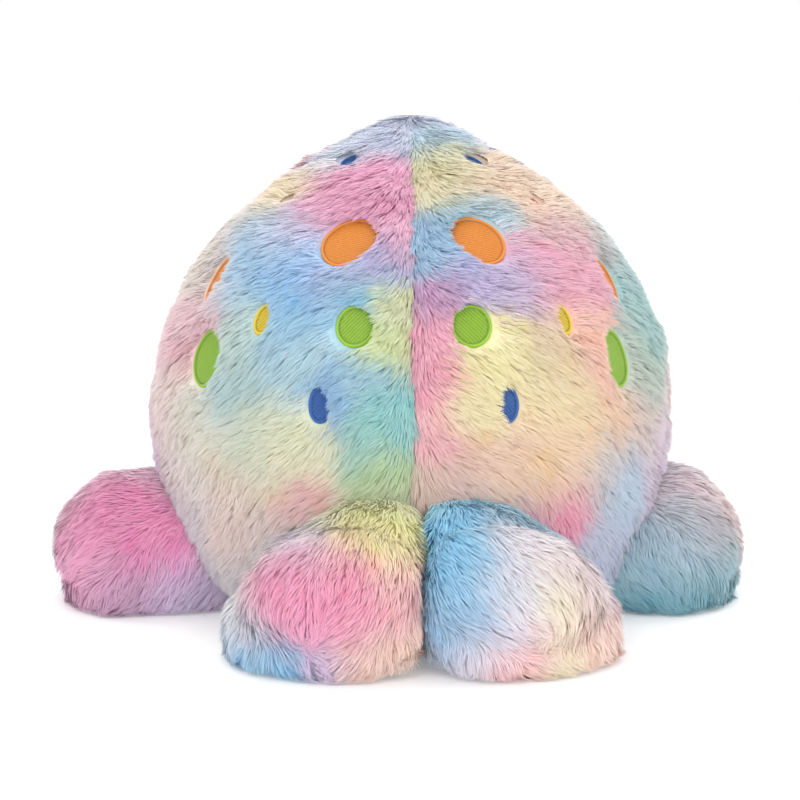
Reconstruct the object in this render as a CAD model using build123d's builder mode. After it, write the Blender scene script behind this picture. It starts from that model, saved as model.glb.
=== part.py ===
from build123d import *
import os
from math import acos, asin, atan2, cos, degrees, radians, sin, tan

os.makedirs("parts", exist_ok=True)

# A long-pile plush octopus. Millimetres and degrees, Z up, floor at Z = 0, the face looks along +Y.
# Azimuths are measured about Z from the back (-Y) towards the toy's right (+X).

# ---- driving dimensions: body ----
# The outline of the mean fur surface is four tangent arcs from the floor to a slightly pointed top.
BASE_EDGE = 116.0  # radius where the outline leaves the floor
BELLY_RADIUS = 156.0  # widest
BELLY_HEIGHT = 105.0
LOWER_ARC = 230.0  # arc below the widest point
LOWER_ANGLE = -18.5  # where it meets the tighter base arc
UPPER_ARC = 162.0  # arc above the widest point
CROWN_ANGLE = 52.0  # where it meets the flatter crown arc
APEX_HEIGHT = 282.0
SKIN = 9.0  # pile and backing together
SKIN_GAP = 0.3  # modelling clearance between a skin and its stuffing
PIT = 7.0  # depth of the bare pits in the pile
THREAD = 1.4  # thickness of the satin embroidery
THREAD_GAP = 0.3
BASE_RADIUS = 108.0

# name, azimuth, height, width, length, tilt of the long side towards the centre seam
SPOTS = [
    ("blue_top", 50.0, 262.0, 22.0, 15.0, 0.0),
    ("orange_large", 20.5, 222.5, 34.0, 38.0, 32.0),
    ("red_small", 56.0, 239.0, 12.0, 13.0, 0.0),
    ("orange_small", 63.5, 194.5, 25.0, 33.0, 12.0),
    ("yellow", 38.0, 178.5, 14.0, 20.0, 8.0),
    ("green_side", 53.0, 153.0, 29.0, 37.0, 8.0),
    ("green_round", 13.5, 178.5, 24.0, 26.0, 0.0),
    ("blue_low", 20.0, 135.5, 15.0, 22.0, 0.0),
]

# ---- driving dimensions: face ----
EYE_AZIMUTH = 154.0
EYE_HEIGHT = 156.0
EYE_RADIUS = 12.0
EYE_DOME = 7.5
EYE_PIT = 12.6
SHANK_RADIUS = 2.5
SHANK_HOLE = 2.8
SHANK_LENGTH = 9.0
WASHER_RADIUS = 10.0
WASHER_THICKNESS = 2.0
WASHER_DEPTH = 9.6
SMILE_CENTRE = 166.0
SMILE_RADIUS = 42.0
SMILE_HALF_ANGLE = 33.0
SMILE_WIDTH = 4.0
SMILE_GROOVE = 5.0

# ---- driving dimensions: arms ----
PAW_HALF_WIDTH = 55.0
PAW_START = 105.0  # inside the body, trimmed away later
PAW_SHOULDER = 165.0  # where the paw starts to round towards its tip
PAW_TIP = 207.5
TIP_RADIUS = 60.0
PAW_AXIS = 27.0  # height of the paw's own axis above the floor
PAW_SKIN = 8.0
ROOT_GAP = 0.4  # clearance between an arm's root and the body
ROOT_RADIUS = 140.0  # the root stops here below the body's turned-in edge
ROOT_HEIGHT = 30.0
PAW_SIDE_GAP = 0.4
# the seam between a paw's top and bottom panel, seen from the side
PAW_SEAM = [(100, 76), (140, 72), (155, 69), (168, 61), (180, 49), (189, 37), (196, 27), (204, 22), (230, 20)]
# name, azimuth, how far the whole paw sits further in, room towards lower and towards higher azimuth
ARMS = [
    ("back_left", -15.5, 0.0, 27.0, 15.5),
    ("back_right", 15.5, 0.0, 15.5, 27.0),
    ("side_left", -78.0, 8.0, 27.0, 27.0),
    ("side_right", 78.0, 8.0, 27.0, 27.0),
    ("front_side_left", -131.0, 4.0, 17.5, 27.0),
    ("front_side_right", 131.0, 4.0, 27.0, 17.5),
    ("front_left", -164.5, 0.0, 15.5, 16.0),
    ("front_right", 164.5, 0.0, 16.0, 15.5),
]

BIG = 700.0
PAW_PLANE = Plane(origin=(0, 0, PAW_AXIS), x_dir=(1, 0, 0), z_dir=(0, -1, 0))


def arc_point(centre, radius, angle):
    """A point on a circle in the radius-height plane."""
    return (centre[0] + radius * cos(radians(angle)), centre[1] + radius * sin(radians(angle)))


def joining_radius(touch, angle, end):
    """Radius of the arc that starts at touch, square to the given direction, and ends at end."""
    dx = end[0] - touch[0]
    dz = end[1] - touch[1]
    return -(dx * dx + dz * dz) / (2 * (dx * cos(radians(angle)) + dz * sin(radians(angle))))


LOWER_CENTRE = (BELLY_RADIUS - LOWER_ARC, BELLY_HEIGHT)
UPPER_CENTRE = (BELLY_RADIUS - UPPER_ARC, BELLY_HEIGHT)
BASE_TOUCH = arc_point(LOWER_CENTRE, LOWER_ARC, LOWER_ANGLE)
BASE_ARC = joining_radius(BASE_TOUCH, LOWER_ANGLE, (BASE_EDGE, 0))
BASE_CENTRE = arc_point(BASE_TOUCH, -BASE_ARC, LOWER_ANGLE)
CROWN_TOUCH = arc_point(UPPER_CENTRE, UPPER_ARC, CROWN_ANGLE)
CROWN_ARC = joining_radius(CROWN_TOUCH, CROWN_ANGLE, (0, APEX_HEIGHT))
CROWN_CENTRE = arc_point(CROWN_TOUCH, -CROWN_ARC, CROWN_ANGLE)


def body_arcs(inset):
    """The four arcs of the outline drawn in by inset: centre, radius, start and end angle."""
    base_start = degrees(asin((inset - BASE_CENTRE[1]) / (BASE_ARC - inset)))
    crown_end = degrees(acos(-CROWN_CENTRE[0] / (CROWN_ARC - inset)))
    return [
        (BASE_CENTRE, BASE_ARC - inset, base_start, LOWER_ANGLE),
        (LOWER_CENTRE, LOWER_ARC - inset, LOWER_ANGLE, 0.0),
        (UPPER_CENTRE, UPPER_ARC - inset, 0.0, CROWN_ANGLE),
        (CROWN_CENTRE, CROWN_ARC - inset, CROWN_ANGLE, crown_end),
    ]


def body_band(outer, inner, turn, sweep):
    """The body between two insets, over a sweep of azimuth that starts at turn from +X."""
    outside = body_arcs(outer)
    inside = body_arcs(inner)
    foot_out = arc_point(*outside[0][:3])
    foot_in = arc_point(*inside[0][:3])
    top_out = arc_point(*outside[3][:2], outside[3][3])
    top_in = arc_point(*inside[3][:2], inside[3][3])
    with BuildSketch(Plane.XZ) as section:
        with BuildLine():
            for arcs in (outside, inside):
                for centre, radius, start, end in arcs:
                    ThreePointArc(
                        arc_point(centre, radius, start),
                        arc_point(centre, radius, (start + end) / 2),
                        arc_point(centre, radius, end),
                    )
            Line((top_out), (top_in))
            Polyline(foot_in, (BASE_RADIUS, foot_in[1]), (BASE_RADIUS, foot_out[1]), foot_out)
        make_face()
    with BuildPart() as solid:
        revolve(section.sketch, axis=Axis.Z, revolution_arc=sweep)
    return solid.part.rotate(Axis.Z, turn)


def body_solid(inset, turn, sweep):
    """The solid body drawn in by inset, over a sweep of azimuth that starts at turn from +X."""
    outside = body_arcs(inset)
    foot = arc_point(*outside[0][:3])
    top = arc_point(*outside[3][:2], outside[3][3])
    with BuildSketch(Plane.XZ) as section:
        with BuildLine():
            for centre, radius, start, end in outside:
                ThreePointArc(
                    arc_point(centre, radius, start),
                    arc_point(centre, radius, (start + end) / 2),
                    arc_point(centre, radius, end),
                )
            Polyline(top, (0, foot[1]), foot)
        make_face()
    with BuildPart() as solid:
        revolve(section.sketch, axis=Axis.Z, revolution_arc=sweep)
    return solid.part.rotate(Axis.Z, turn)


def paw_solid(inset):
    """One paw along +X, drawn in by inset, flat on the floor and open-ended inside the body."""
    half = PAW_HALF_WIDTH
    middle = PAW_TIP - TIP_RADIUS
    run = PAW_SHOULDER - middle
    shoulder = (TIP_RADIUS**2 - run**2 - half**2) / (2 * (TIP_RADIUS - half))
    lift = half - shoulder
    turn = degrees(atan2(lift, run))
    shoulder_centre = (PAW_SHOULDER, lift)
    tip_centre = (middle, 0)
    r = shoulder - inset
    tip = TIP_RADIUS - inset
    with BuildSketch(PAW_PLANE) as section:
        with BuildLine():
            Polyline((PAW_START, 0), (PAW_START, half - inset), (PAW_SHOULDER, half - inset))
            ThreePointArc(
                arc_point(shoulder_centre, r, 90),
                arc_point(shoulder_centre, r, (90 + turn) / 2),
                arc_point(shoulder_centre, r, turn),
            )
            ThreePointArc(
                arc_point(tip_centre, tip, turn),
                arc_point(tip_centre, tip, turn / 2),
                arc_point(tip_centre, tip, 0),
            )
            Line(arc_point(tip_centre, tip, 0), (PAW_START, 0))
        make_face()
    with BuildPart() as solid:
        revolve(section.sketch, axis=Axis(PAW_PLANE.origin, PAW_PLANE.x_dir))
        with Locations((0, 0, inset)):
            Box(BIG, BIG, BIG, align=(Align.CENTER, Align.CENTER, Align.MAX), mode=Mode.SUBTRACT)
    return solid.part


def room_solid(room_low, room_high, gap):
    """The wedge of space between two upright planes through Z, moved in by gap, that a paw along +X has."""
    reach = 260.0
    with BuildPart() as wedge:
        for side, room in ((-1, radians(room_low)), (1, radians(room_high))):
            start = gap / sin(room)
            with BuildSketch() as half:
                with BuildLine():
                    Polyline((start, 0), (reach, side * (reach - start) * tan(room)), (reach, 0), close=True)
                make_face()
            extrude(half.sketch, amount=150)
    return wedge.part


def profile_point(height):
    """Radius of the body at a height, and the outward normal's two components there."""
    for centre, radius, start, end in body_arcs(0):
        rise = (height - centre[1]) / radius
        if abs(rise) <= 1:
            angle = degrees(asin(rise))
            if min(start, end) - 0.001 <= angle <= max(start, end) + 0.001:
                return arc_point(centre, radius, angle)[0], cos(radians(angle)), sin(radians(angle))
    raise ValueError(f"no outline at {height}")


def surface_plane(azimuth, height):
    """A plane on the fur surface: x runs to the right seen from outside, z points outwards."""
    radius, out, up = profile_point(height)
    a = radians(azimuth)
    outward = Vector(sin(a), -cos(a), 0)
    right = Vector(cos(a), sin(a), 0)
    normal = outward * out + Vector(0, 0, up)
    origin = outward * radius + Vector(0, 0, height)
    return Plane(origin=origin, x_dir=right, z_dir=normal)


def surface_prism(plane, width, length, tilt):
    """An oval prism through the skin, square to the fur surface."""
    with BuildSketch(plane.offset(14)) as oval:
        Ellipse(width / 2, length / 2, rotation=tilt)
    with BuildPart() as prism:
        extrude(oval.sketch, amount=-26)
    return prism.part


def smile_prism(width, extra):
    """The curved band of the mouth, from the front through the skin."""
    half = SMILE_HALF_ANGLE + extra
    inner = SMILE_RADIUS - width / 2
    outer = SMILE_RADIUS + width / 2
    s = sin(radians(half))
    c = cos(radians(half))
    with BuildSketch(Plane.XZ.offset(-BELLY_RADIUS - 20)) as band:
        with BuildLine():
            ThreePointArc((-outer * s, -outer * c), (0, -outer), (outer * s, -outer * c))
            ThreePointArc((-inner * s, -inner * c), (0, -inner), (inner * s, -inner * c))
            Line((-outer * s, -outer * c), (-inner * s, -inner * c))
            Line((outer * s, -outer * c), (inner * s, -inner * c))
        make_face()
    with BuildPart() as prism:
        with Locations((0, 0, SMILE_CENTRE)):
            add(extrude(band.sketch, amount=60, mode=Mode.PRIVATE))
    return prism.part


# ---- the body's layers, in quarters that start at these turns from +X ----
QUARTERS = {
    ("front", "right"): 0,
    ("front", "left"): 90,
    ("rear", "left"): 180,
    ("rear", "right"): 270,
}
thread_rear = body_band(PIT - THREAD, PIT, 180, 180)
thread_front = body_band(PIT - THREAD, PIT, 0, 180)

# every spot as (side, name, azimuth, height, width, length, tilt)
all_spots = []
for side, sign in (("left", -1), ("right", 1)):
    for name, azimuth, height, width, length, tilt in SPOTS:
        all_spots.append((side, name, sign * azimuth, height, width, length, sign * tilt))

eye_planes = {
    "left": surface_plane(-EYE_AZIMUTH, EYE_HEIGHT),
    "right": surface_plane(EYE_AZIMUTH, EYE_HEIGHT),
}

# ---- base panel: flat disc that closes the body underneath ----
with BuildPart() as base_panel:
    Cylinder(BASE_RADIUS, SKIN, align=(Align.CENTER, Align.CENTER, Align.MIN))
base_panel.part.label = "base_panel"
export_step(base_panel.part, "parts/base_panel.step")

# ---- four gores of the body, with their pits ----
for (end, side), turn in QUARTERS.items():
    pile = body_band(-1.0, PIT, turn, 90)
    with BuildPart() as gore:
        add(body_band(0, SKIN, turn, 90))
        if end == "rear":
            for spot_side, name, azimuth, height, width, length, tilt in all_spots:
                if spot_side == side:
                    pit = surface_prism(surface_plane(azimuth, height), width, length, tilt)
                    add(pit & pile, mode=Mode.SUBTRACT)
        else:
            add(surface_prism(eye_planes[side], 2 * EYE_PIT, 2 * EYE_PIT, 0) & pile, mode=Mode.SUBTRACT)
            add(smile_prism(SMILE_GROOVE, 1.0) & pile, mode=Mode.SUBTRACT)
            with Locations(eye_planes[side]):
                Cylinder(SHANK_HOLE, 4 * SKIN, mode=Mode.SUBTRACT)
    gore.part.label = f"gore_{end}_{side}"
    export_step(gore.part, f"parts/gore_{end}_{side}.step")

# ---- body stuffing, with hollows round the eye washers ----
with BuildPart() as stuffing_core:
    add(body_solid(SKIN + SKIN_GAP, 0, 180))
    for plane in eye_planes.values():
        with Locations(plane.offset(-WASHER_DEPTH + 3)):
            Cylinder(
                WASHER_RADIUS + 0.6,
                WASHER_THICKNESS + 4.6 + 3,
                align=(Align.CENTER, Align.CENTER, Align.MAX),
                mode=Mode.SUBTRACT,
            )
    add(body_solid(SKIN + SKIN_GAP, 180, 180))
stuffing_core.part.label = "stuffing_core"
export_step(stuffing_core.part, "parts/stuffing_core.step")

# ---- embroidered spots at the bottom of the pits ----
for side, name, azimuth, height, width, length, tilt in all_spots:
    plane = surface_plane(azimuth, height)
    thread = surface_prism(plane, width - 2 * THREAD_GAP, length - 2 * THREAD_GAP, tilt)
    with BuildPart() as spot:
        add(thread)
        add(thread_rear, mode=Mode.INTERSECT)
    spot.part.label = f"spot_{name}_{side}"
    export_step(spot.part, f"parts/spot_{name}_{side}.step")

# ---- smile stitching ----
with BuildPart() as smile:
    add(smile_prism(SMILE_WIDTH, 0))
    add(thread_front, mode=Mode.INTERSECT)
smile.part.label = "smile_stitching"
export_step(smile.part, "parts/smile_stitching.step")

# ---- safety eyes and their locking washers ----
dome_radius = (EYE_RADIUS**2 + EYE_DOME**2) / (2 * EYE_DOME)
for side, plane in eye_planes.items():
    seat = plane.offset(-PIT + 0.1)
    with BuildPart() as eye:
        with Locations(seat.offset(EYE_DOME - dome_radius)):
            Sphere(dome_radius)
        with Locations(seat):
            Box(BIG, BIG, BIG, align=(Align.CENTER, Align.CENTER, Align.MAX), mode=Mode.SUBTRACT)
        with Locations(seat):
            Cylinder(SHANK_RADIUS, SHANK_LENGTH, align=(Align.CENTER, Align.CENTER, Align.MAX))
    eye.part.label = f"eye_{side}"
    export_step(eye.part, f"parts/eye_{side}.step")
    with BuildPart() as washer:
        with Locations(plane.offset(-WASHER_DEPTH)):
            Cylinder(WASHER_RADIUS, WASHER_THICKNESS, align=(Align.CENTER, Align.CENTER, Align.MAX))
            Cylinder(
                SHANK_RADIUS + 0.1,
                WASHER_THICKNESS * 3,
                align=(Align.CENTER, Align.CENTER, Align.CENTER),
                mode=Mode.SUBTRACT,
            )
    washer.part.label = f"eye_washer_{side}"
    export_step(washer.part, f"parts/eye_washer_{side}.step")

# ---- one arm along +X at a time: root clear of the body, sides clear of the next arms ----
with BuildPart() as above_seam:
    with BuildSketch(Plane.XZ):
        with BuildLine():
            Spline(*PAW_SEAM)
            Polyline(PAW_SEAM[-1], (PAW_SEAM[-1][0], 150), (PAW_SEAM[0][0], 150), PAW_SEAM[0])
        make_face()
    extrude(amount=100, both=True)

with BuildPart() as root_tool:
    add(body_solid(-ROOT_GAP, -60, 120))
    Cylinder(ROOT_RADIUS, ROOT_HEIGHT, align=(Align.CENTER, Align.CENTER, Align.MIN))

paw_outer = paw_solid(0)
paw_inner = paw_solid(PAW_SKIN)
paw_fill = paw_solid(PAW_SKIN + SKIN_GAP)

for name, azimuth, pull, room_low, room_high in ARMS:
    inward = Location((-pull, 0, 0))
    with BuildPart() as shell:
        add(paw_outer.moved(inward))
        add(root_tool.part, mode=Mode.SUBTRACT)
        add(room_solid(room_low, room_high, PAW_SIDE_GAP), mode=Mode.INTERSECT)
    with BuildPart() as hollow:
        add(paw_inner.moved(inward))
        add(room_solid(room_low, room_high, PAW_SIDE_GAP + PAW_SKIN), mode=Mode.INTERSECT)
    with BuildPart() as paw_top:
        add(shell.part)
        add(hollow.part, mode=Mode.SUBTRACT)
        add(above_seam.part.moved(inward), mode=Mode.INTERSECT)
    with BuildPart() as paw_bottom:
        add(shell.part)
        add(hollow.part, mode=Mode.SUBTRACT)
        add(above_seam.part.moved(inward), mode=Mode.SUBTRACT)
    with BuildPart() as paw_stuffing:
        add(paw_fill.moved(inward))
        add(root_tool.part, mode=Mode.SUBTRACT)
        add(room_solid(room_low, room_high, PAW_SIDE_GAP + PAW_SKIN + SKIN_GAP), mode=Mode.INTERSECT)
    for kind, shape in (("top", paw_top), ("bottom", paw_bottom), ("stuffing", paw_stuffing)):
        with BuildPart() as arm:
            with Locations(Rotation(0, 0, azimuth - 90)):
                add(shape.part)
        arm.part.label = f"arm_{name}_{kind}"
        export_step(arm.part, f"parts/arm_{name}_{kind}.step")
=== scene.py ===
import bpy
import math
import numpy as np
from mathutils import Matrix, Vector


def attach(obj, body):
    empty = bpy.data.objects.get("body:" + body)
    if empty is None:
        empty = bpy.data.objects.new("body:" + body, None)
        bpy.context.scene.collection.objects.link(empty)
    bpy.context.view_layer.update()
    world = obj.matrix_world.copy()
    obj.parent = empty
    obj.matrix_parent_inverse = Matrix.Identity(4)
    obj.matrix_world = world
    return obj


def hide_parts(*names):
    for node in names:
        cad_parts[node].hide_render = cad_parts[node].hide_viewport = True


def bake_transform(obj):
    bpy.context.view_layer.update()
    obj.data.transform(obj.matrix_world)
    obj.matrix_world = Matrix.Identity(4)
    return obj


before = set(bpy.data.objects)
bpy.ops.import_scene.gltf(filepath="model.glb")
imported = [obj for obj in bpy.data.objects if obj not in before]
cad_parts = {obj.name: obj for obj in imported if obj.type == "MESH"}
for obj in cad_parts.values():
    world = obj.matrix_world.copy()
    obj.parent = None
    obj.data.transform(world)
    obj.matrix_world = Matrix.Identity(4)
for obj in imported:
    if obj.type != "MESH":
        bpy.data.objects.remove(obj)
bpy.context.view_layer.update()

MM = 0.001
RNG = np.random.default_rng(20)
DENSITY = 1.0
FAT = 1.0

# pile and backing: depths below the plain surface, sizes and leans (millimetres, radians)
FUR_ROOT, FUR_LENGTH, FUR_WIDTH = 6.2, 12.0, 0.54
SKIN_INSET, PIT_DROP, SPOT_INSET = 5.2, 2.4, 7.4
ROOT_LEAN, TIP_LEAN = 0.84, 1.38
CLUMP_SIZE = 5.4
STRAND_FLOOR = 0.5
REAR_STRANDS, FRONT_STRANDS, ARM_STRANDS = 110000, 46000, 27000
GOLDEN = 0.6180339887

# ------------------------------------------------------------------ body outline (millimetres)
BASE_EDGE, BELLY_R, BELLY_Z = 116.0, 156.0, 105.0
LOWER_ARC, LOWER_ANGLE = 230.0, -18.5
UPPER_ARC, CROWN_ANGLE, APEX = 162.0, 52.0, 282.0


def on_arc(c, r, deg):
    a = math.radians(deg)
    return (c[0] + r * math.cos(a), c[1] + r * math.sin(a))


def joining(touch, deg, end):
    dx, dz = end[0] - touch[0], end[1] - touch[1]
    a = math.radians(deg)
    return -(dx * dx + dz * dz) / (2 * (dx * math.cos(a) + dz * math.sin(a)))


def outline():
    """Radius, height and outward normal of the body along its outline, evenly spaced by length."""
    low_c, up_c = (BELLY_R - LOWER_ARC, BELLY_Z), (BELLY_R - UPPER_ARC, BELLY_Z)
    t0 = on_arc(low_c, LOWER_ARC, LOWER_ANGLE)
    r0 = joining(t0, LOWER_ANGLE, (BASE_EDGE, 0))
    c0 = on_arc(t0, -r0, LOWER_ANGLE)
    t3 = on_arc(up_c, UPPER_ARC, CROWN_ANGLE)
    r3 = joining(t3, CROWN_ANGLE, (0, APEX))
    c3 = on_arc(t3, -r3, CROWN_ANGLE)
    arcs = [
        (c0, r0, math.degrees(math.asin(-c0[1] / r0)), LOWER_ANGLE),
        (low_c, LOWER_ARC, LOWER_ANGLE, 0.0),
        (up_c, UPPER_ARC, 0.0, CROWN_ANGLE),
        (c3, r3, CROWN_ANGLE, math.degrees(math.acos(-c3[0] / r3))),
    ]
    pts = []
    for c, r, a, b in arcs:
        n = max(8, int(abs(b - a) * math.radians(1) * r / 0.5))
        ang = np.radians(np.linspace(a, b, n, endpoint=False))
        pts.append(np.stack([c[0] + r * np.cos(ang), c[1] + r * np.sin(ang), np.cos(ang), np.sin(ang)], 1))
    last = arcs[-1]
    a = math.radians(last[3])
    pts.append(np.array([[0.0, APEX, math.cos(a), math.sin(a)]]))
    p = np.concatenate(pts)
    s = np.concatenate([[0], np.cumsum(np.hypot(np.diff(p[:, 0]), np.diff(p[:, 1])))])
    return s, p


OUT_S, OUT_P = outline()
TOTAL_S = OUT_S[-1]


def body_base(phi, s):
    """Point and normal on the plain body: phi in radians from the back towards +X, s along the outline."""
    r, z, nr, nz = (np.interp(s, OUT_S, OUT_P[:, k]) for k in range(4))
    sp, cp = np.sin(phi), np.cos(phi)
    p = np.stack([r * sp, -r * cp, z], -1)
    n = np.stack([nr * sp, -nr * cp, nz], -1)
    return p, n


def s_at_height(z):
    return np.interp(z, OUT_P[:, 1], OUT_S)


def body_depth(p):
    """How far points lie inside the body's mean fur surface, roughly, below its widest part."""
    r = np.hypot(p[:, 0], p[:, 1])
    rz = np.interp(p[:, 2], OUT_P[:, 1], OUT_P[:, 0])
    nr = np.interp(p[:, 2], OUT_P[:, 1], OUT_P[:, 2])
    return (rz - r) * nr


# ------------------------------------------------------------------ noise
def hash3(i, j, k, seed):
    h = (i * 73856093) ^ (j * 19349663) ^ (k * 83492791) ^ (seed * 2654435761)
    h = (h ^ (h >> 13)) * 1274126177
    h = h & 0x7FFFFFFF
    h = (h ^ (h >> 16)) * 668265263
    return ((h & 0x7FFFFFFF) ^ ((h & 0x7FFFFFFF) >> 15)).astype(np.float64) % 65536 / 65536.0


def noise(p, size, seed):
    """Smooth value noise from -1 to 1 of points p, with cells of the given size."""
    q = p / size + 1000.0
    c = np.floor(q).astype(np.int64)
    f = q - c
    f = f * f * (3 - 2 * f)
    out = np.zeros(len(p))
    for dx in (0, 1):
        for dy in (0, 1):
            for dz in (0, 1):
                w = f[:, 0] if dx else 1 - f[:, 0]
                w = w * (f[:, 1] if dy else 1 - f[:, 1])
                w = w * (f[:, 2] if dz else 1 - f[:, 2])
                out += w * hash3(c[:, 0] + dx, c[:, 1] + dy, c[:, 2] + dz, seed)
    return out * 2 - 1


def clump(p, size, seed):
    """Nearest clump centre of each point, and a random number for each clump."""
    q = p / size + 1000.0
    c = np.floor(q).astype(np.int64)
    best = np.full(len(p), 1e9)
    centre = np.zeros_like(p)
    rand = np.zeros((len(p), 3))
    for dx in (-1, 0, 1):
        for dy in (-1, 0, 1):
            for dz in (-1, 0, 1):
                i, j, k = c[:, 0] + dx, c[:, 1] + dy, c[:, 2] + dz
                h = [hash3(i, j, k, seed + m) for m in range(3)]
                g = np.stack([i + h[0], j + h[1], k + h[2]], 1)
                d = ((g - q) ** 2).sum(1)
                m = d < best
                best[m] = d[m]
                centre[m] = g[m]
                rand[m] = np.stack([h[0], h[1], h[2]], 1)[m]
    return (centre - 1000.0) * size, (rand * 7.31) % 1.0


def unit(v):
    return v / np.maximum(np.linalg.norm(v, axis=-1, keepdims=True), 1e-9)


def srgb(c):
    c = np.asarray(c, float) / 255.0
    return np.where(c <= 0.04045, c / 12.92, ((c + 0.055) / 1.055) ** 2.4)


# ------------------------------------------------------------------ spots
# name, azimuth, height, width, length, tilt, thread
SPOTS = [
    ("blue_top", 50.0, 262.0, 22.0, 15.0, 0.0, "blue"),
    ("orange_large", 20.5, 222.5, 34.0, 38.0, 32.0, "orange"),
    ("red_small", 56.0, 239.0, 12.0, 13.0, 0.0, "red"),
    ("orange_small", 63.5, 194.5, 25.0, 33.0, 12.0, "orange"),
    ("yellow", 38.0, 178.5, 14.0, 20.0, 8.0, "yellow"),
    ("green_side", 53.0, 153.0, 29.0, 37.0, 8.0, "green"),
    ("green_round", 13.5, 178.5, 24.0, 26.0, 0.0, "green"),
    ("blue_low", 20.0, 135.5, 15.0, 22.0, 0.0, "blue"),
]
EYE_AZ, EYE_Z, EYE_R = 154.0, 156.0, 12.0


class Patch:
    """An oval on the body: its centre, its own axes and half sizes."""

    def __init__(self, az, z, w, h, tilt):
        self.phi = math.radians(az)
        self.s = float(s_at_height(z))
        p, n = body_base(np.array([self.phi]), np.array([self.s]))
        self.c, self.n = p[0], n[0]
        right = np.array([math.cos(self.phi), math.sin(self.phi), 0.0])
        up = np.cross(self.n, right)
        t = math.radians(tilt)
        self.x = right * math.cos(t) + up * math.sin(t)
        self.y = up * math.cos(t) - right * math.sin(t)
        self.a, self.b = w / 2, h / 2

    def e(self, p):
        """1 on the oval's border, less inside it; huge far away or on the other side."""
        d = p - self.c
        u, v = d @ self.x, d @ self.y
        e = np.sqrt((u / self.a) ** 2 + (v / self.b) ** 2)
        return np.where(np.abs(d @ self.n) < 30, e, 99.0)

    def gap(self, p):
        """Distance outside the border, roughly, in millimetres."""
        return (self.e(p) - 1) * math.sqrt(self.a * self.b)


HOLES = {}
for side, sign in (("left", -1), ("right", 1)):
    for name, az, z, w, h, tilt, thread in SPOTS:
        HOLES[f"spot_{name}_{side}"] = Patch(sign * az, z, w, h, sign * tilt)
    HOLES[f"eye_{side}"] = Patch(sign * EYE_AZ, EYE_Z, 2 * EYE_R, 2 * EYE_R, 0)


def body_dip(p):
    """Large soft shape: seams pull in, spots make dimples, the stuffing is a little lumpy."""
    back = np.exp(-((p[:, 0] / 13.0) ** 2)) * 3.2
    side = np.exp(-((p[:, 1] / 13.0) ** 2)) * 2.0
    fade = np.clip((APEX - p[:, 2]) / 40.0, 0.1, 1)
    d = (back + side) * fade - noise(p, 46.0, 3) * 2.2 - noise(p, 22.0, 4) * 1.0
    for hole in HOLES.values():
        g = hole.gap(p)
        d += 1.8 * np.exp(-np.clip(g, 0, 60) / 8.0) * (g < 40)
    return d


def body_point(phi, s, inset):
    p, n = body_base(phi, s)
    return p - n * (inset + body_dip(p))[:, None]


def grad_normal(func, phi, s, inset):
    d = 1.2
    r = np.maximum(np.interp(s, OUT_S, OUT_P[:, 0]), 6.0)
    a = func(phi + d / r, s, inset) - func(phi - d / r, s, inset)
    s1, s0 = np.minimum(s + d, TOTAL_S), np.maximum(s - d, 0)
    b = func(phi, s1, inset) - func(phi, s0, inset)
    n = unit(np.cross(a, b))
    _, flat = body_base(phi, s)
    n = np.where((n * flat).sum(1, keepdims=True) < 0, -n, n)
    return n


def pastel(c, amount, lift):
    """Less saturated and a little lighter."""
    g = (c @ np.array([0.25, 0.6, 0.15]))[:, None]
    return np.clip((g + (c - g) * amount) * (1 - lift) + lift, 0, 1)


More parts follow.
